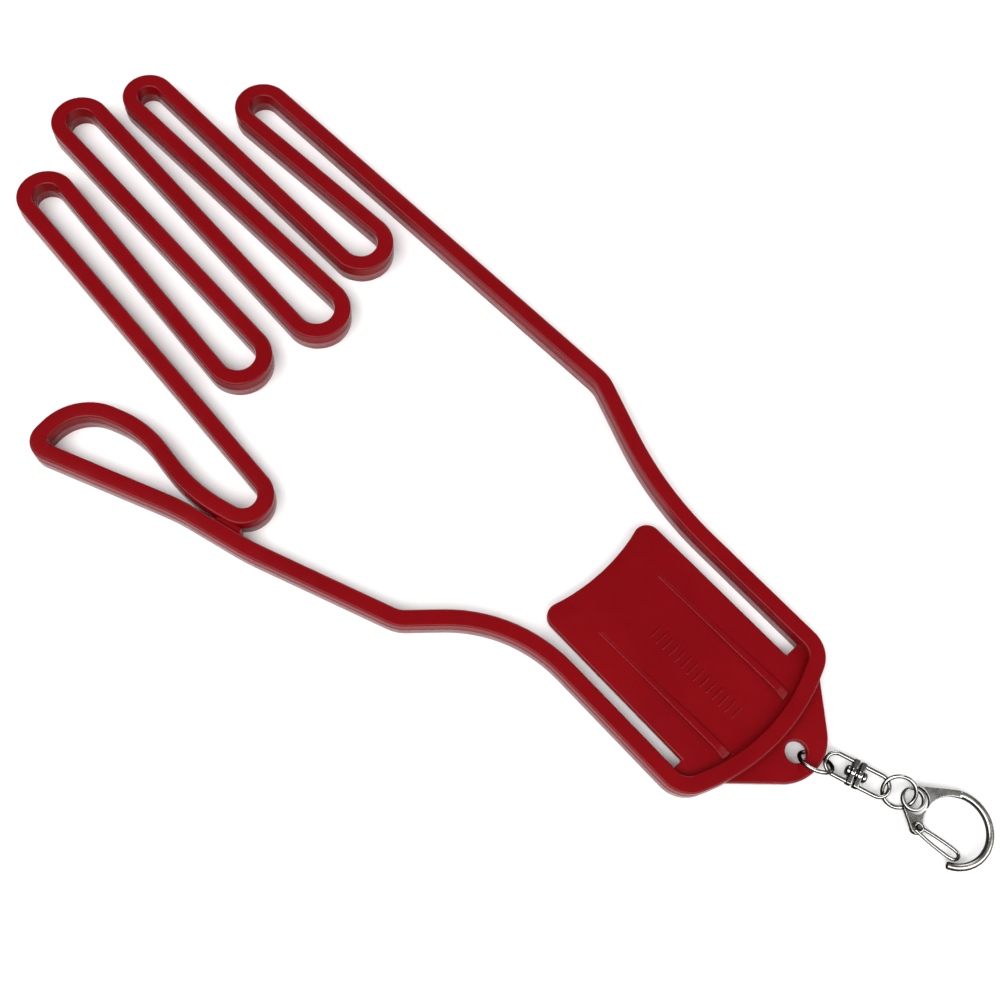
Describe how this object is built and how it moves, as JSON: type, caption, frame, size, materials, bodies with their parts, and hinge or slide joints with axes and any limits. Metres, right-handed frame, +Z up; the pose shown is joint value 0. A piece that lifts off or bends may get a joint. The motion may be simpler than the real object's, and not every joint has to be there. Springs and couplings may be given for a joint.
{
  "type": "glove stretcher",
  "caption": "Hand-shaped glove stretcher: a moulded plastic hand outline with open fingers and thumb, a spring clip in the wrist, and a swivel key chain with a snap hook on a tab.",
  "frame": {"origin": "on the underside of the wrist bar, at the middle of the wrist", "axes": "+Y from the wrist to the fingertips, +X to the little finger's side with the outline lying palm side up, +Z up off the table"},
  "size_m": [0.1207, 0.3032, 0.0071],
  "materials": {
    "plastic": "deep red moulded plastic, glossy, slightly uneven",
    "nickel": "nickel-plated steel wire and stamping, bright with fine scratches"
  },
  "bodies": {
    "hand": {"hand_frame": "plastic"},
    "clip": {"clip_tongue": "plastic"},
    "tab_ring": {"tab_ring": "nickel"},
    "swivel_near": {"swivel_link_tab_side": "nickel", "swivel_rivet": "nickel"},
    "swivel_far": {"swivel_link_hook_side": "nickel"},
    "hook_ring": {"hook_ring": "nickel"},
    "hook": {"hook_body": "nickel"},
    "gate": {"hook_gate": "nickel"}
  },
  "joints": [
    {"name": "clip_flex", "type": "hinge", "parent": "hand", "child": "clip", "pos_m": [-0.0006, 0.0034, 0.00325], "axis": [1, 0, 0], "range_deg": [-9, 9], "stiffness_Nm_per_rad": 3},
    {"name": "tab_ring_turn", "type": "hinge", "parent": "hand", "child": "tab_ring", "pos_m": [0.004, -0.0111, 0.00356], "axis": [0.6745, 0.3437, 0.6534], "range_deg": [-45, 8]},
    {"name": "swivel_swing", "type": "hinge", "parent": "tab_ring", "child": "swivel_near", "pos_m": [0.00654, -0.01407, 0.0025], "axis": [0.3895, 0.5862, -0.7104], "range_deg": [-14, 30]},
    {"name": "swivel_spin", "type": "hinge", "parent": "swivel_near", "child": "swivel_far", "pos_m": [0.00925, -0.01948, 0.0025], "axis": [0.3305, -0.9438, 0], "continuous": true},
    {"name": "hook_ring_swing", "type": "hinge", "parent": "swivel_far", "child": "hook_ring", "pos_m": [0.01201, -0.02737, 0.0025], "axis": [0.9438, 0.3305, 0], "range_deg": [-5, 20]},
    {"name": "hook_swing", "type": "hinge", "parent": "hook_ring", "child": "hook", "pos_m": [0.01524, -0.03268, 0.00263], "axis": [0.7519, 0.3538, 0.5563], "range_deg": [-18, 35]},
    {"name": "gate_open", "type": "hinge", "parent": "hook", "child": "gate", "pos_m": [0.01035, -0.0374, 0.00245], "axis": [0, 0, 1], "range_deg": [0, 26], "stiffness_Nm_per_rad": 0.03, "springref_deg": -8.59}
  ]
}
